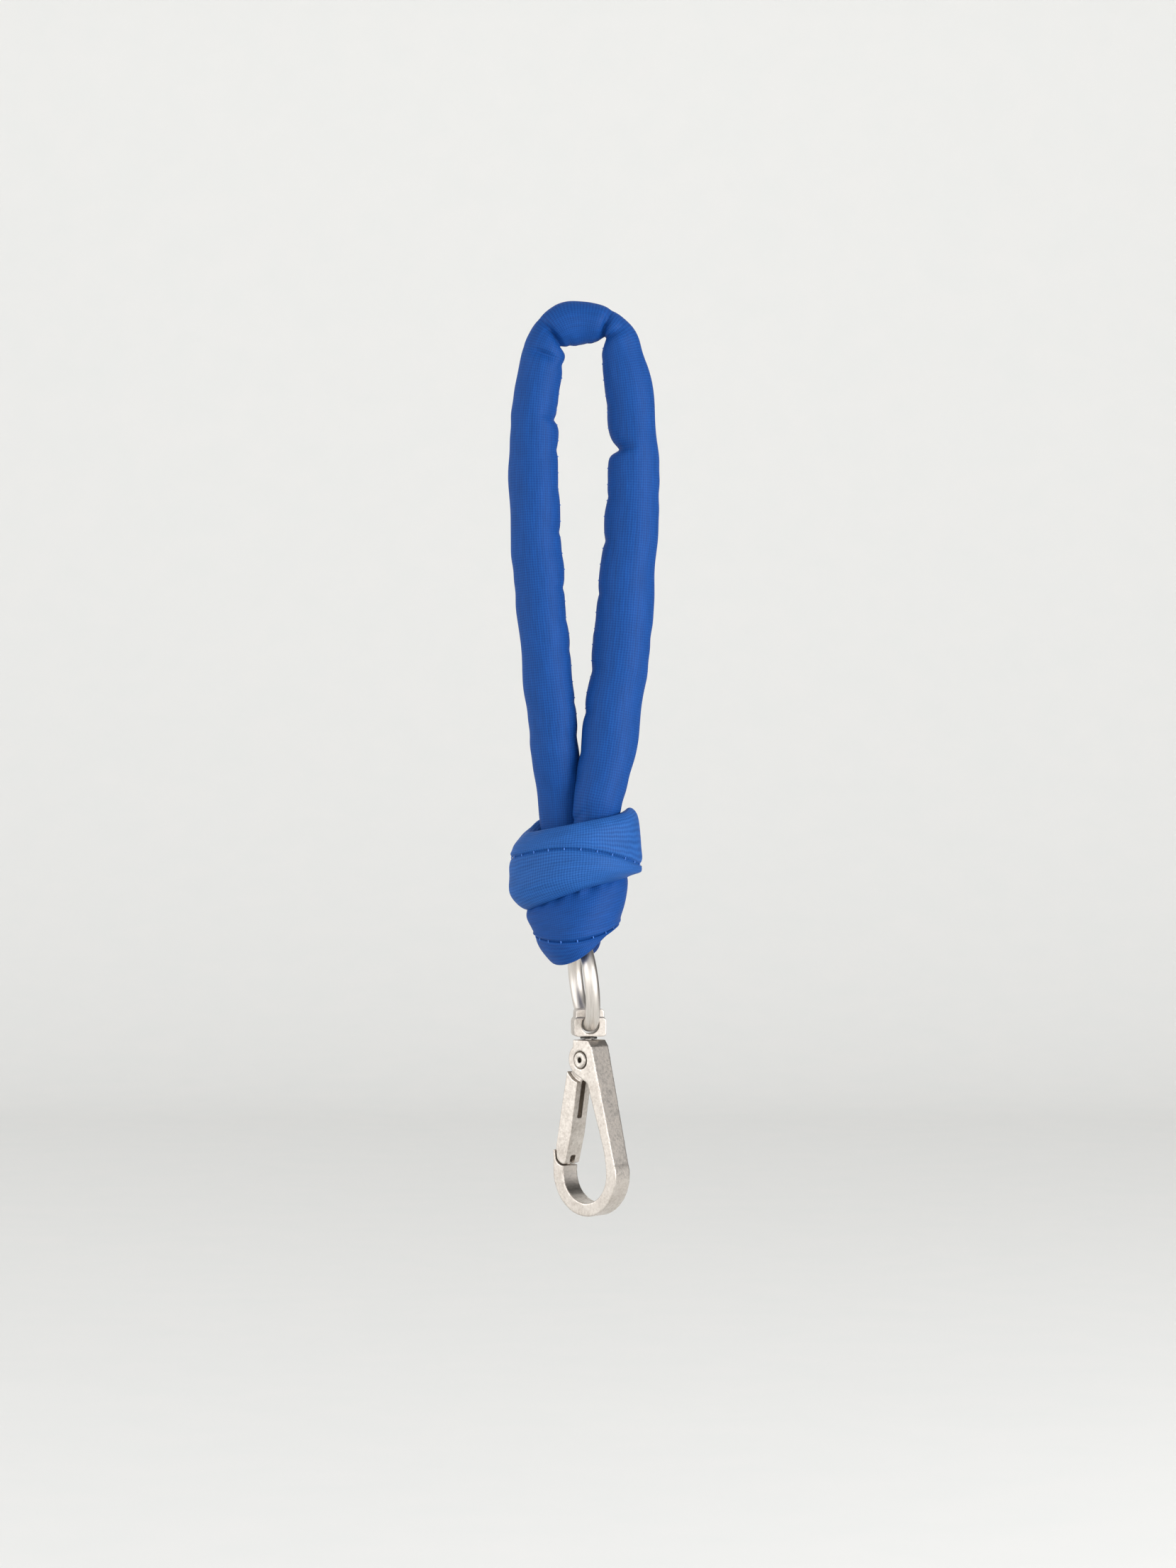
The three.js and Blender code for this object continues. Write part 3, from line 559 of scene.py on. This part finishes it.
# %% Band surface
# centre x, half width, half depth, base, slope, bow, climb, shoulder, in mm.
UPPER_STATIONS = [
    (-0.9, 14.2, 12.6, -135.4, 0.20, 0, 0, 1.3), (-1.1, 16.9, 14.6, -137.3, 0.18, -0.001, 0, 1.0),
    (-1.3, 18.0, 15.5, -140.0, 0.05, -0.005, 0, 0.3), (-1.4, 18.3, 15.8, -142.9, -0.08, -0.0108, 0, 0),
    (-1.4, 18.6, 16.2, -146.0, 0.04, -0.0090, 0, 0), (-1.8, 18.3, 16.1, -150.2, 0.15, -0.0068, 0, 0),
    (-1.2, 14.8, 14.0, -153.6, 0.30, -0.0060, 0, 0), (-0.9, 12.2, 11.0, -153.9, 0.30, -0.0060, 0, 0),
    (-0.5, 11.3, 9.4, -149.0, 0.22, 0, 0, 0), (-0.5, 11.3, 9.6, -142.5, 0.20, 0, 0, 0),
    (-0.6, 11.8, 10.6, -137.6, 0.20, 0, 0, 0.8),
]
LOWER_STATIONS = [
    (-1.0, 12.4, 10.9, -153.2, 0.31, 0, 0.02, 0), (-1.2, 14.2, 13.1, -156.3, 0.33, 0, 0.02, 0),
    (-0.9, 13.3, 14.8, -161.6, 0.25, 0, 0.05, 0), (-1.2, 11.9, 15.0, -167.2, 0.17, 0.012, 0.06, 0),
    (0.0, 10.4, 15.0, -169.0, 0.42, 0.010, 0.13, 0), (0.5, 8.6, 14.4, -170.9, 0.63, 0.022, 0.14, 0),
    (0.6, 7.3, 13.4, -170.3, 0.62, 0.022, 0.14, 0), (-0.3, 7.6, 12.1, -166.4, 0.45, 0, 0.11, 0),
    (-0.7, 9.0, 9.6, -162.7, 0.44, 0, 0.06, 0), (-0.6, 10.4, 9.6, -156.0, 0.32, 0, 0.02, 0),
]
SEAM_STATION = 3
BAND_COLUMNS = 260
BAND_ROWS = 190
SEAM_CROWDING = 0.055 * 14 / (2 * np.pi)
SEAM_CROWDING_REACH = 0.1
SHOULDER_WIDTH = 0.45
BACK_RISE, BACK_RISE_ANGLE, BACK_RISE_WIDTH = 2.3, 0.74 * np.pi, 0.45
FRONT_SHARE = 0.75
BAND_MEAN_RADIUS = 16


def band(stations, wrinkles):
    """The band's grid, its pattern map, the row of its seam and the outward directions there.
    Point = centre + (half width x cos angle, half depth x sin angle, height) + relief outward.
    Rows crowd near the seam, and the map counts mm round the section at the front's middle."""
    count = len(stations)
    t = np.linspace(0, 1, BAND_ROWS, endpoint=False)
    seam = SEAM_STATION / count
    drawn_in = SEAM_CROWDING * np.sin(2 * np.pi * (t - seam))
    at = count * (t - drawn_in * hill(t, seam, SEAM_CROWDING_REACH))
    numbers = smooth(stations, at, closed=True)
    centre, wide, deep, base, slope, bow, climb, shoulder = (column[:, None] for column in numbers.T)
    angle = (np.arange(BAND_COLUMNS) / BAND_COLUMNS * 2 * np.pi)[None, :]
    x = centre + wide * np.cos(angle)
    y = deep * np.sin(angle)
    right = hill(np.minimum(angle, 2 * np.pi - angle), 0, SHOULDER_WIDTH)
    rear = BACK_RISE * hill(angle, BACK_RISE_ANGLE, BACK_RISE_WIDTH)
    lift = shoulder * (right + rear)
    z = base + slope * x + bow * x**2 + climb * y + lift
    points = np.stack([x, y + 0 * x, z], -1)
    girth = lengths(points[:, int(FRONT_SHARE * BAND_COLUMNS)])
    row = int(np.argmin(np.abs(at - SEAM_STATION)))
    from_seam = girth - girth[row]
    outward = unit(np.stack([np.cos(angle) / wide, np.sin(angle) / deep, 0 * x], -1))
    valley = seam_valley(from_seam)
    relief = valley[:, None] + wrinkles(angle, at[:, None])
    points = points + outward * relief[..., None]
    around = np.linspace(0, 2 * np.pi * BAND_MEAN_RADIUS, BAND_COLUMNS + 1)
    closed_girth = np.r_[girth, girth[-1] + np.linalg.norm(points[0, 0] - points[-1, 0])]
    cloth = np.stack(np.meshgrid(around, closed_girth), -1)[..., ::-1]
    return points, cloth, row, outward[row]


SEAM_DEPTH, SEAM_WIDTH = 0.75, 0.3
ROLL_HEIGHT, ROLL_PLACE, ROLL_WIDTH = 0.32, -0.95, 0.75
PUFF_HEIGHT, PUFF_PLACE, PUFF_WIDTH = 0.15, 1.6, 1.1


def seam_valley(distance):
    """A pulled seam: a sharp dip, and the cloth above it (negative distance) rolled over it."""
    dip = -SEAM_DEPTH * np.exp(-np.abs(distance) / SEAM_WIDTH)
    roll = ROLL_HEIGHT * hill(distance, ROLL_PLACE, ROLL_WIDTH)
    puff = PUFF_HEIGHT * hill(distance, PUFF_PLACE, PUFF_WIDTH)
    return dip + roll + puff


# %% [markdown]
# Wrinkles are sums of a few waves and ridges in angle and station, each kept to its own part
# of the band by a hill. Broad ones run slantwise where the band is pulled, and short pleats
# stand at the lower band's top edge, where its cloth is crushed under the upper band.

# %% Wrinkle fields
# Height in mm, waves round the band, radians per station, and phase.
UPPER_PULL = [(0.16, 3, 1.4, 0.0), (0.10, 7, -2.3, 1.0)]
UPPER_EDGE = [(0.22, 11, 0.0, 0.8)]
LOWER_PULL = [(0.18, 2, 1.1, 2.0), (0.09, 6, 2.1, 0.0)]
LOWER_PLEATS = [(0.35, 17, 1.3, 0.0)]
POINT_HEIGHT, POINT_ANGLE, POINT_WIDTH = 1.3, 0.06, 0.075


def waves(table, angle, at):
    """The sum of height x sin(waves x angle + lean x station + phase)."""
    return sum(height * np.sin(count * angle + lean * at + phase)
               for height, count, lean, phase in table)


def upper_wrinkles(angle, at):
    """Slanting pull lines under the seam, fading towards the edges."""
    return (waves(UPPER_PULL, angle, at) * hill(at, 4.2, 1.9)
            + waves(UPPER_EDGE, angle, at) * hill(at, 0.3, 0.7))


def lower_wrinkles(angle, at):
    """Pull lines, and pleats at the top edge: a pointed one near the front's middle."""
    front = angle - 1.5 * np.pi
    point = POINT_HEIGHT * np.exp(-np.abs((front - POINT_ANGLE) / POINT_WIDTH))
    return (waves(LOWER_PULL, angle, at) * hill(at, 2.6, 1.7) + point * hill(at, 0.15, 0.55)
            + waves(LOWER_PLEATS, angle, at) * hill(at, 0.2, 0.6))


upper_points, upper_map, upper_seam_row, upper_out = band(UPPER_STATIONS, upper_wrinkles)
lower_points, lower_map, lower_seam_row, lower_out = band(LOWER_STATIONS, lower_wrinkles)
# The upper band takes the lighter copy of the nylon, which is painted light; the lower band has the
# strap's own colour.
upper_turn = skin("knot_upper_band", upper_points, upper_map, LIGHTER_LIT_NYLON, closed=True)
lower_turn = skin("knot_lower_band", lower_points, lower_map, NYLON, closed=True)

# %% [markdown]
# ## Stitches
# The seam is closed by hand with stitches 4.5 mm apart, and each shows as a short bar of thread
# across the valley. One bar is a bowed tube that thins to its ends. All the bars of a seam are
# one mesh: the same small tube, set at each place by one array sum.

# %% Stitch function
STITCH_PITCH = 4.5
STITCH_LENGTH = 1.7
STITCH_RADIUS = 0.19
STITCH_BOW = 0.3
STITCH_STEPS, STITCH_SIDES = 7, 6


def stitches(name, line, outward, closed, lift):
    """Bars across a seam. line and outward are points and directions along it, in mm. A bar's
    point = place + along-bar share x cross direction + bow x outward + thin ring."""
    run = np.vstack([line, line[:1]]) if closed else line
    out = np.vstack([outward, outward[:1]]) if closed else outward
    along = lengths(run)
    count = int(along[-1] / STITCH_PITCH)
    at = (np.arange(count) + 0.5) * along[-1] / count

    def pick(rows):
        return np.stack([np.interp(at, along, column) for column in rows.T], -1)

    spot, out = pick(run), unit(pick(out))
    forward = unit(pick(np.gradient(run, axis=0)))
    cross = unit(np.cross(forward, out))
    steps, sides = STITCH_STEPS, STITCH_SIDES
    share = np.linspace(-1, 1, steps)
    turn = np.arange(sides) / sides * 2 * np.pi
    thick = STITCH_RADIUS * np.sqrt(1.02 - share**2)
    bow = lift + STITCH_BOW * (1 - share**2)
    bar = (spot[:, None, None] + cross[:, None, None] * (share * STITCH_LENGTH / 2)[:, None, None]
           + out[:, None, None] * (bow[:, None] + thick[:, None] * np.cos(turn))[..., None]
           + forward[:, None, None] * (thick[:, None] * np.sin(turn))[..., None])
    i, j = np.meshgrid(np.arange(steps - 1), np.arange(sides), indexing="ij")
    k = (j + 1) % sides
    quads = np.stack([i * sides + j, i * sides + k, (i + 1) * sides + k, (i + 1) * sides + j], -1)
    caps = [list(range(sides))[::-1], list(range((steps - 1) * sides, steps * sides))]
    bar_faces = [np.array(face) for face in quads.reshape(-1, 4).tolist() + caps]
    faces = [(face + n * steps * sides).tolist() for n in range(count) for face in bar_faces]
    mesh = bpy.data.meshes.new(name)
    mesh.from_pydata((bar.reshape(-1, 3) * MM).tolist(), [], faces)
    mesh.shade_smooth()
    print(f"{name}: {count} stitches")
    return place(name, mesh, THREAD)


BAND_STITCH_LIFT = 0.15
upper_stitches = stitches("upper_band_stitches", upper_points[upper_seam_row], upper_out,
                          True, BAND_STITCH_LIFT)
lower_stitches = stitches("lower_band_stitches", lower_points[lower_seam_row], lower_out,
                          True, BAND_STITCH_LIFT)
LOOP_SEAM_SHARE = (0.14, 0.86)
first, last = (int(share * STRAP_ROWS) for share in LOOP_SEAM_SHARE)
loop_line = final_cover[first:last, 0]
loop_out = unit(loop_line - strap_line[first:last, :3])
loop_stitches = stitches("loop_seam_stitches", loop_line, loop_out, False, 0.0)

# %% [markdown]
# ## The end tab
# The sewn ends of the strap fold flat under the ring's wire and back up into the knot. The tab is
# a strip carried along a U-shaped path in the plane that the wire pierces. Its section is a
# rounded rectangle, a superellipse, crumpled a little where it turns under the wire. The
# joint between strap and ring gives the wire's place and direction there.

# %% Tab surface
ring_joint = next(joint for joint in frame["joints"] if joint["name"] == "ring_swing")
slide_joint = next(joint for joint in frame["joints"] if joint["name"] == "eye_slide")
wire_spot = np.array(ring_joint["pos_m"]) / MM
wire_run = unit(np.array(ring_joint["axis"]))
ring_centre = np.array(slide_joint["pos_m"]) / MM
ring_normal = unit(np.array(slide_joint["axis"]))
ring_up = unit(wire_spot - ring_centre)
RING_RADIUS = float(np.linalg.norm(wire_spot - ring_centre))
print("ring radius to the wire's middle, mm:", round(RING_RADIUS, 2))

TAB_BEND = 4.8
TAB_THICK = 1.8
TAB_WIDE = 9.6
TAB_LEG = 8.5
TAB_POWER = 0.4
TAB_CRUMPLE, TAB_CRUMPLE_REACH, TAB_WAVER = 0.16, 7, 0.03


def tab_surface(steps=70, sides=64):
    """Section superellipse (power 0.4) carried along: down a leg, half a circle, up a leg. The
    section's sign x |cos| to the power gives the thickness, and the same with sin the width."""
    leg = np.linspace(0, TAB_LEG, steps // 3)[::-1]
    turn = np.linspace(np.pi, 2 * np.pi, steps - 2 * len(leg))
    path = np.vstack([np.stack([-TAB_BEND + 0 * leg, leg], -1),
                      np.stack([TAB_BEND * np.cos(turn), TAB_BEND * np.sin(turn)], -1)[1:-1],
                      np.stack([TAB_BEND + 0 * leg, leg[::-1]], -1)])
    along = lengths(path)
    forward = unit(np.gradient(path, axis=0))
    side = np.stack([forward[:, 1], -forward[:, 0]], -1)
    angle = np.arange(sides) / sides * 2 * np.pi
    thick, wide = (np.sign(part) * np.abs(part)**TAB_POWER
                   for part in (np.cos(angle), np.sin(angle)))
    bend = hill(along[:, None], along[-1] / 2, TAB_CRUMPLE_REACH)
    crumple = 1 + TAB_CRUMPLE * np.sin(along[:, None] / 1.3 + 2 * np.sin(angle)) * bend
    out = thick * TAB_THICK / 2 * crumple
    wide = wide * TAB_WIDE / 2 * (1 + TAB_WAVER * np.sin(along[:, None] / 2))
    flat = path[:, None] + side[:, None] * out[..., None]
    points = (wire_spot + flat[..., :1] * ring_normal + flat[..., 1:] * ring_up
              + wide[..., None] * wire_run)
    around = np.linspace(0, 2 * (TAB_WIDE + TAB_THICK), sides + 1)
    return points, np.stack(np.meshgrid(around, along), -1)


# The tab takes the darker copy of the nylon, which is painted shade.
tab = skin("end_tab_folded", *tab_surface(), SHADED_TAB_NYLON)

# %% [markdown]
# ## The ring
# Drawn wire closed into a circle: a torus, with the angle round the ring and the angle round
# the wire. Its scratches follow the wire, so the pattern map counts millimetres along it.

# %% Ring surface
WIRE_RADIUS = 2.0


def ring_surface(steps=220, sides=40):
    """Point = centre + R x direction round the ring + r x direction round the wire."""
    big = (np.arange(steps) / steps * 2 * np.pi)[:, None, None]
    small = (np.arange(sides) / sides * 2 * np.pi)[None, :, None]
    spoke = np.cos(big) * ring_up + np.sin(big) * wire_run
    points = (ring_centre + RING_RADIUS * spoke
              + WIRE_RADIUS * (np.cos(small) * spoke + np.sin(small) * ring_normal))
    around = np.linspace(0, 2 * np.pi * WIRE_RADIUS, sides + 1)
    along = np.linspace(0, 2 * np.pi * RING_RADIUS, steps + 1)
    return points, np.stack(np.meshgrid(along, around, indexing="ij"), -1)


ring = skin("ring_of_drawn_wire", *ring_surface(), RING_WIRE, closed=True)

# %% [markdown]
# ## Cast pieces
# Die-cast zinc has no sharp edge: the die's corners and the barrel round every one to about
# half a millimetre. A bevel would trip over the short edges where holes meet the slot, so a
# merged copy of each CAD piece is rebuilt from small cubes and then smoothed, which rounds all
# the edges alike, inside and out.

# %% Softening function
def cast_copy(name, node, material, cube_mm=0.22, passes=5):
    """The CAD node's mesh with its doubles merged, voxel-remeshed and smoothed, as one object."""
    mesh = frame["nodes"][node].data.copy()
    shell = bmesh.new()
    shell.from_mesh(mesh)
    bmesh.ops.remove_doubles(shell, verts=shell.verts, dist=1e-6)
    shell.to_mesh(mesh)
    shell.free()
    worker = bpy.data.objects.new(name + "_worker", mesh)
    scene.collection.objects.link(worker)
    cubes = worker.modifiers.new("cubes", "REMESH")
    cubes.mode = "VOXEL"
    cubes.voxel_size = cube_mm * MM
    cubes.use_smooth_shade = True
    soft = worker.modifiers.new("soft", "SMOOTH")
    soft.factor = 0.5
    soft.iterations = passes
    graph = bpy.context.evaluated_depsgraph_get()
    done = bpy.data.meshes.new_from_object(worker.evaluated_get(graph), depsgraph=graph)
    done.name = name
    bpy.data.objects.remove(worker)
    done.shade_smooth()
    return place(name, done, material)


hook = cast_copy("hook_body_cast", "hook_body", CAST_ZINC, cube_mm=0.19, passes=8)
gate = cast_copy("gate_lever_cast", "gate_lever", CAST_ZINC, cube_mm=0.14, passes=9)
eye = cast_copy("swivel_eye_cast", "swivel_eye", CAST_ZINC, cube_mm=0.16)
rivet = cast_copy("gate_rivet_set", "gate_rivet", RIVET_STEEL, cube_mm=0.1, passes=3)

# %% [markdown]
# The washer, the spring and the bar tack are right as the CAD has them, so they stay and only
# take a finish.

# %% Finish the small CAD nodes
for node, material in (("swivel_washer", SPRING_STEEL), ("gate_spring", SPRING_STEEL),
                       ("tab_bar_tack", THREAD)):
    for holder in frame["nodes"][node].material_slots:
        holder.material = material
    print(node, "is", material.name)

# %% [markdown]
# ## Riding and replacing
# Each new piece moves with one CAD body and stands for the plain solids it hides.

# %% Tie pieces to the frame
RIDES = [
    (cover, "strap", "nylon_cover", ["strap_cover"]),
    (wadding, "strap", "wadding", ["strap_wadding"]),
    (loop_stitches, "strap", "seam_thread", ["loop_seam_thread"]),
    (upper_turn, "strap", "nylon_cover", ["knot_upper_turn"]),
    (lower_turn, "strap", "nylon_cover", ["knot_lower_turn"]),
    (upper_stitches, "strap", "seam_thread", ["upper_seam_thread"]),
    (lower_stitches, "strap", "seam_thread", ["lower_seam_thread"]),
    (tab, "strap", "nylon_cover", ["end_tab"]),
    (ring, "ring", "ring_wire", ["o_ring"]),
    (eye, "eye", "cast_zinc", ["swivel_eye"]),
    (hook, "hook", "cast_zinc", ["hook_body"]),
    (gate, "gate", "cast_zinc", ["gate_lever"]),
    (rivet, "hook", "ring_wire", ["gate_rivet"]),
]
for piece, body, slot_name, nodes in RIDES:
    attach(piece, body)
    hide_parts(*nodes)
print(len(RIDES), "pieces ride")

# %% [markdown]
# ## Stage and light
# A sheet of pale seamless paper runs along the floor and curves up behind. The light is soft: a
# panel on the right lights the cloth, a taller one on the left is what the hook's left face
# mirrors, a large one behind the camera fills the front, and the room is pale. A black card
# on the right is seen only in mirror reflections, which gives the metal its darker flank.

# %% Paper sweep
FLOOR = -0.3006
SWEEP_FRONT, SWEEP_BACK, SWEEP_RADIUS, SWEEP_TOP, SWEEP_HALF = -2.4, 0.9, 0.7, 2.2, 3.0


def paper_sweep():
    """Floor, quarter circle and wall as one profile, carried from left to right."""
    turn = np.linspace(-np.pi / 2, 0, 32)
    profile = np.vstack([[SWEEP_FRONT, FLOOR],
                         np.stack([SWEEP_BACK + SWEEP_RADIUS * np.cos(turn),
                                   FLOOR + SWEEP_RADIUS + SWEEP_RADIUS * np.sin(turn)], -1),
                         [SWEEP_BACK + SWEEP_RADIUS, SWEEP_TOP]])
    rows = len(profile)
    points = np.vstack([np.c_[np.full(rows, side), profile] for side in (-SWEEP_HALF, SWEEP_HALF)])
    i = np.arange(rows - 1)
    faces = np.stack([i, i + rows, i + rows + 1, i + 1], -1)
    mesh = bpy.data.meshes.new("paper_sweep")
    mesh.from_pydata(points.tolist(), [], faces.tolist())
    mesh.shade_smooth()
    return mesh


def matt_paper():
    """Pale uncoated paper: a diffuse surface with the faintest mottling."""
    made, tree, out = start_material("matt_background_paper")
    place_in = add(tree, "TexCoord").outputs["Object"]
    mottle = add(tree, "TexNoise", {"Vector": place_in, "Scale": 40.0})
    tint = add(tree, "Mix", {"Factor": mottle.outputs[0], "A": linear("e9eae8"),
                             "B": linear("edecea")}, data_type="RGBA")
    shader = add(tree, "BsdfPrincipled", {"Base Color": tint.outputs[2], "Roughness": 0.95,
                                          "Specular IOR Level": 0.1})
    tree.links.new(shader.outputs[0], out.inputs[0])
    return made


sweep = bpy.data.objects.new("paper_sweep", paper_sweep())
sweep.data.materials.append(matt_paper())
scene.collection.objects.link(sweep)
sweep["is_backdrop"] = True

# %% Lights and room
MIDDLE = Vector((0, 0, -0.12))
ROOM_LIGHT = 0.72


def panel(name, where, width, height, watts):
    """A rectangular soft light at a place in metres, turned to face the object's middle."""
    data = bpy.data.lights.new(name, "AREA")
    data.shape = "RECTANGLE"
    data.size, data.size_y = width, height
    data.energy = watts
    lamp = bpy.data.objects.new(name, data)
    lamp.location = where
    lamp.rotation_euler = (MIDDLE - Vector(where)).to_track_quat("-Z", "Y").to_euler()
    scene.collection.objects.link(lamp)


panel("key_panel", (1.05, -0.7, -0.05), 0.8, 0.7, 19)
panel("fill_panel", (-1.25, -0.4, -0.05), 1.6, 1.5, 13)
panel("front_panel", (-0.4, -1.9, -0.15), 2.0, 1.6, 11)

world = bpy.data.worlds.new("pale_room")
world.use_nodes = True
room = world.node_tree.nodes["Background"]
room.inputs["Color"].default_value = linear("f4f4f4")
room.inputs["Strength"].default_value = ROOM_LIGHT
scene.world = world
scene.view_settings.view_transform = "Standard"


def black_card():
    """A dull black surface for the panel that only reflections see."""
    made, tree, out = start_material("black_card")
    shader = add(tree, "BsdfPrincipled", {"Base Color": linear("101010"), "Roughness": 0.9})
    tree.links.new(shader.outputs[0], out.inputs[0])
    return made


CARD_X, CARD_NEAR, CARD_FAR, CARD_LOW, CARD_HIGH = 0.3, -0.31, 0.5, -0.285, 0.25
card_mesh = bpy.data.meshes.new("dark_card")
card_mesh.from_pydata([(CARD_X, CARD_NEAR, CARD_LOW), (CARD_X, CARD_FAR, CARD_LOW),
                       (CARD_X, CARD_FAR, CARD_HIGH), (CARD_X, CARD_NEAR, CARD_HIGH)],
                      [], [(0, 1, 2, 3)])
card_mesh.materials.append(black_card())
card = bpy.data.objects.new("dark_card", card_mesh)
scene.collection.objects.link(card)
card.visible_camera = card.visible_diffuse = card.visible_shadow = False
card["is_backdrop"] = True

# %% [markdown]
# ## Sizes
# The looks can stand a little proud of the CAD, so the visual box is printed against the CAD box.

# %% Print the visual box against the CAD box
visual_box = [list(corner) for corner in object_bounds()]
grown = (np.array(visual_box) - np.array(cad_box)) / MM
print("visual box against the CAD box, mm:", np.round(grown, 2).tolist())
